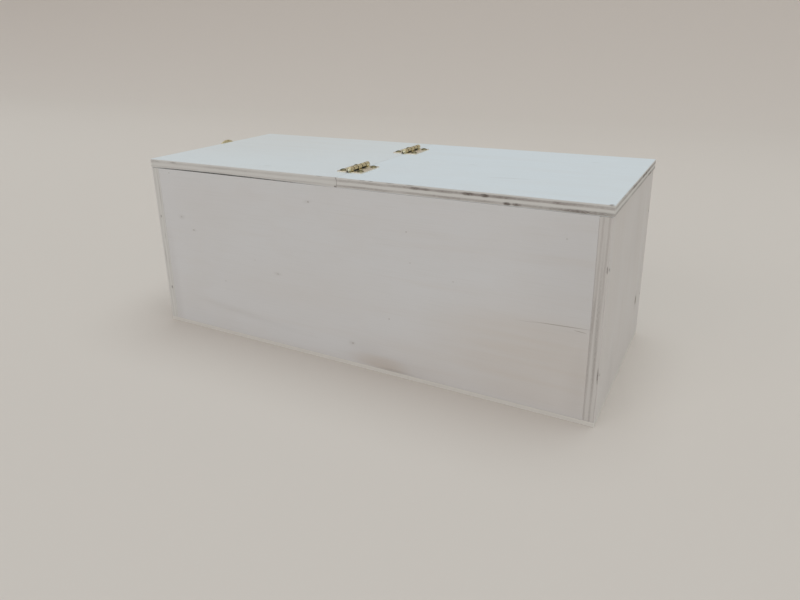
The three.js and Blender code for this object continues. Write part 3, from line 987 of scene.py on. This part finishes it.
# The hook: radius of its eye, half widths of its arm at the eye and at the head, metal
# round its slot, finger tab, placed from the head, and half width of the way to it.
EYE = 4 * MM
ARM_HALF = 2.5 * MM
ARM_FOOT = 2 * MM
HEAD_RIM = 2.4 * MM
TAB_PLACE = (-2.5 * MM, -6.5 * MM)
TAB_RADIUS = 2.4 * MM
TAIL_HALF = 1.9 * MM


def countersunk_tool(x, radius, thickness):
    """The cone that a flat-head screw sits in, cut from a plate's outer face."""
    profile = [
        (0, -MM), (radius * 0.5, -MM), (radius * 0.5, 0),
        (radius, thickness), (radius, thickness + MM), (0, thickness + MM),
    ]
    return move(piece("countersink", lathe(profile, 32)), Matrix.Translation((x, 0, 0)))


class KINDLING_OT_catch(bpy.types.Operator):
    """The brass swing-hook catch on the left end: base plate, rivet, hook, keeper and stud."""

    bl_idname = "kindling.catch"
    bl_label = "Swing-hook catch"

    def execute(self, context):
        brass = aged_brass("aged brass catch", 9)
        screw_brass = aged_brass("dulled brass catch screw", 5, SCREW_BRASS, 0.45)
        pivot = middle_at(0, "hook_rivet")
        stud = middle_at(0, "keeper_stud")
        self.plates(brass, pivot, stud)
        self.posts(brass)
        self.screws(screw_brass)
        self.hook(brass, pivot, stud)
        return {"FINISHED"}

    def plates(self, brass, pivot, stud):
        low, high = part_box("hook_base_plate")
        end = (high.z - low.z) / 2
        reach = (high.y - low.y) / 2 - end
        outline = arc((reach, 0), end, -math.pi / 2, math.pi / 2, 24)
        outline += arc((-reach, 0), end, math.pi / 2, 1.5 * math.pi, 24)
        self.plate(brass, "hook_base_plate", outline, pivot, "hook_base_screw_")
        low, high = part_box("keeper_plate")
        half = (high.y - low.y) / 2
        foot = low.z - stud.z
        crown = high.z - stud.z
        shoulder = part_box("lifting_top_panel")[1].z - KEEPER_SHOULDER - stud.z
        radius, spread = bow(half, crown - shoulder)
        outline = [(-half, foot), (half, foot)]
        outline += arc(
            (0, crown - radius), radius, math.pi / 2 - spread, math.pi / 2 + spread, 24
        )
        self.plate(brass, "keeper_plate", outline, stud, "keeper_screw_")

    def plate(self, brass, node, outline, centre, screw_prefix):
        low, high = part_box(node)
        thickness = high.x - low.x
        plate = piece(node + "_brass", prism(outline, 0, thickness))
        tools = []
        for screw in (name for name in frame["nodes"] if name.startswith(screw_prefix)):
            screw_low, screw_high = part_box(screw)
            offset = centre.y - (screw_low.y + screw_high.y) / 2
            radius = (screw_high.z - screw_low.z) / 2 + SINK_FIT
            tools.append(countersunk_tool(offset, radius, thickness))
        combine(plate, "DIFFERENCE", tools)
        soften_edges(plate, BRASS_EDGE)
        plate.data.materials.append(brass)
        move(plate, Matrix.Translation((high.x, centre.y, centre.z)) @ FACE_LEFT)
        stand_for(plate, "brass", node)

    def posts(self, brass):
        hook_low, hook_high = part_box("swing_hook")
        for node, plate in (("hook_rivet", "hook_base_plate"), ("keeper_stud", "keeper_plate")):
            low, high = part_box(node)
            radius = (high.z - low.z) / 2
            plate_top = high.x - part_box(plate)[0].x
            rim = high.x - hook_low.x + HOOK_FIT
            collar = high.x - hook_high.x - HOOK_FIT
            profile = [(0, 0), (POST_SHANK, 0), (POST_SHANK, plate_top)]
            if collar > plate_top + 0.1 * MM:
                profile += [(radius, plate_top), (radius, collar)]
            profile += [(POST_NECK, max(collar, plate_top)), (POST_NECK, rim)]
            profile += dome(radius, rim, high.x - low.x)
            post = piece(node + "_brass", lathe(profile), [brass])
            move(post, Matrix.Translation(middle_at(high.x, node)) @ FACE_LEFT)
            stand_for(post, "brass", node)

    def screws(self, brass):
        prefixes = ("hook_base_screw_", "keeper_screw_")
        nodes = sorted(node for node in frame["nodes"] if node.startswith(prefixes))
        for index, node in enumerate(nodes):
            low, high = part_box(node)
            radius = (high.z - low.z) / 2
            length = high.x - low.x
            profile = [
                (0, -length), (MM, 2 * MM - length), (MM, -MM),
                (radius * 0.96, -0.05 * MM), (radius * 0.93, 0), (0, 0),
            ]
            screw = piece(node + "_brass", lathe(profile), [brass])
            cut_cross(screw, CATCH_CROSS, 0, 0.9 * index)
            move(screw, Matrix.Translation(middle_at(low.x, node)) @ FACE_LEFT)
            stand_for(screw, "brass", node)

    def hook(self, brass, pivot, stud):
        low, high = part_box("swing_hook")
        thickness = high.x - low.x
        reach = stud.z - pivot.z
        neck_gap = POST_NECK + HOOK_FIT
        head = neck_gap + HEAD_RIM
        tab_x, tab_y = TAB_PLACE[0], -reach + TAB_PLACE[1]
        arm = [(-ARM_HALF, 0), (ARM_HALF, 0), (ARM_FOOT, -reach), (-ARM_FOOT, -reach)]
        tail = [(-ARM_HALF, -reach), (ARM_HALF, -reach),
                (tab_x + TAIL_HALF, tab_y), (tab_x - TAIL_HALF, tab_y)]
        body = piece("swing_hook_brass", prism(disc((0, 0), EYE, 40), 0, thickness))
        combine(body, "UNION", [
            piece("hook part", prism(outline, 0, thickness))
            for outline in (
                arm, disc((0, -reach), head, 40), tail, disc((tab_x, tab_y), TAB_RADIUS)
            )
        ])
        down = -math.pi / 2
        sweep = 2 * head / reach
        slot = arc((0, 0), reach + neck_gap, down, down + sweep, 12)
        slot += arc((0, 0), reach - neck_gap, down + sweep, down, 12)
        combine(body, "DIFFERENCE", [
            piece("hook cut", prism(outline, -MM, thickness + MM))
            for outline in (slot, disc((0, -reach), neck_gap), disc((0, 0), neck_gap))
        ])
        soften_edges(body, BRASS_EDGE)
        body.data.materials.append(brass)
        move(body, Matrix.Translation((high.x, pivot.y, pivot.z)) @ FACE_LEFT)
        stand_for(body, "brass", "swing_hook")


# ---- stage

CAMERA_PLACE = Vector((304.3, -543.6, 290.6)) * MM
CAMERA_LOOK = Vector((-0.46326, 0.8273, -0.31775))
CAMERA_ROLL = math.radians(-1.16)
CAMERA_SHIFT = (0.0078, -0.0596)
SENSOR_WIDTH = 36.0
CLIP_START = 0.01
# The floor's extent in metres, along Y, up and to each side.
FLOOR_FRONT = -3.0
FLOOR_BACK = 1.6
SWEEP_RADIUS = 1.2
WALL_HEIGHT = 4.0
FLOOR_HALF_WIDTH = 5.0
AIR_COLOUR = (1.0, 0.975, 0.955, 1.0)
AIR_STRENGTH = 0.425
# Each lamp: the way to it, how wide it looks in degrees, strength and colour.
LAMPS = {
    "overhead": ((0.12, 0.1, 1.0), 50, 1.45, (0.83, 0.95, 1.0)),
    "front fill": ((-0.35, -1.0, 0.45), 50, 0.46, (1.0, 0.99, 1.0)),
    "side fill": ((1.0, -0.3, 0.4), 50, 0.10, (1.0, 0.84, 0.74)),
}


class KINDLING_OT_stage(bpy.types.Operator):
    """The floor that sweeps up into a backdrop, the soft lights and the camera."""

    bl_idname = "kindling.stage"
    bl_label = "Stage"

    def execute(self, context):
        settings = context.scene.kindling_stage
        self.floor(settings)
        self.lights(context)
        self.camera(context, settings)
        return {"FINISHED"}

    def floor(self, settings):
        material, tree = new_material("pale paper floor")
        # The camera and the metal see a pale floor that is a little darker than the box,
        # so that the whitewash reads as white. The box itself is lit by paler paper.
        rays = add_node(tree, "LightPath").outputs
        seen = rays["Is Camera Ray"]
        for ray in ("Is Glossy Ray", "Is Transmission Ray"):
            seen = add_node(tree, "Math", {0: seen, 1: rays[ray]}, operation="MAXIMUM")
        colour = add_node(
            tree, "Mix", {0: seen, 6: FLOOR_BOUNCE, 7: (*settings.floor_colour, 1.0)},
            data_type="RGBA",
        )
        shader = add_node(
            tree, "BsdfPrincipled",
            {"Base Color": colour.outputs[2], "Roughness": 0.9, "Specular IOR Level": 0.1},
        )
        add_node(tree, "OutputMaterial", {"Surface": shader})
        profile = [
            (FLOOR_FRONT, 0.0),
            *arc((FLOOR_BACK, SWEEP_RADIUS), SWEEP_RADIUS, -math.pi / 2, 0, 24),
            (FLOOR_BACK + SWEEP_RADIUS, WALL_HEIGHT),
        ]
        sheet = bmesh.new()
        rows = [
            [sheet.verts.new((x, y, z)) for x in (-FLOOR_HALF_WIDTH, FLOOR_HALF_WIDTH)]
            for y, z in profile
        ]
        for below, above in zip(rows, rows[1:]):
            sheet.faces.new((below[0], below[1], above[1], above[0]))
        piece("floor_sweep", sheet, [material])

    def lights(self, context):
        world = bpy.data.worlds.new("studio air")
        world.use_nodes = True
        background = world.node_tree.nodes["Background"]
        background.inputs["Color"].default_value = AIR_COLOUR
        background.inputs["Strength"].default_value = AIR_STRENGTH
        context.scene.world = world
        for name, (way, width, strength, colour) in LAMPS.items():
            lamp = bpy.data.lights.new(name, "SUN")
            lamp.angle = math.radians(width)
            lamp.energy = strength
            lamp.color = colour
            obj = bpy.data.objects.new(name, lamp)
            obj.rotation_euler = Vector(way).to_track_quat("Z", "Y").to_euler()
            context.scene.collection.objects.link(obj)

    def camera(self, context, settings):
        lens = bpy.data.cameras.new("camera")
        lens.sensor_fit = "HORIZONTAL"
        lens.sensor_width = SENSOR_WIDTH
        lens.lens = settings.focal_length
        lens.shift_x, lens.shift_y = CAMERA_SHIFT
        lens.clip_start = CLIP_START
        camera = bpy.data.objects.new("camera", lens)
        look = CAMERA_LOOK.to_track_quat("-Z", "Y").to_matrix().to_4x4()
        camera.matrix_world = (
            Matrix.Translation(CAMERA_PLACE) @ look @ Matrix.Rotation(CAMERA_ROLL, 4, "Z")
        )
        context.scene.collection.objects.link(camera)
        context.scene.camera = camera
        context.scene.view_settings.view_transform = "Standard"


# ---- add-on


class KINDLING_PT_sidebar(bpy.types.Panel):
    bl_label = "Kindling box"
    bl_idname = "KINDLING_PT_sidebar"
    bl_space_type = "VIEW_3D"
    bl_region_type = "UI"
    bl_category = "Kindling box"

    def draw(self, context):
        layout = self.layout
        for settings in (context.scene.kindling_wood, context.scene.kindling_stage):
            for name in settings.bl_rna.properties.keys():
                if name not in ("rna_type", "name"):
                    layout.prop(settings, name)
        for operator in STEPS:
            layout.operator(operator.bl_idname)


STEPS = (
    KINDLING_OT_stage,
    KINDLING_OT_panels,
    KINDLING_OT_panel_pins,
    KINDLING_OT_hinges,
    KINDLING_OT_hinge_screws,
    KINDLING_OT_catch,
)
CLASSES = (KINDLING_PG_wood, KINDLING_PG_stage, *STEPS, KINDLING_PT_sidebar)


def register():
    for cls in CLASSES:
        bpy.utils.register_class(cls)
    bpy.types.Scene.kindling_wood = PointerProperty(type=KINDLING_PG_wood)
    bpy.types.Scene.kindling_stage = PointerProperty(type=KINDLING_PG_stage)


def unregister():
    del bpy.types.Scene.kindling_stage
    del bpy.types.Scene.kindling_wood
    for cls in reversed(CLASSES):
        bpy.utils.unregister_class(cls)


def main():
    register()
    for step in STEPS:
        group, action = step.bl_idname.split(".")
        getattr(getattr(bpy.ops, group), action)()


if __name__ == "__main__":
    main()
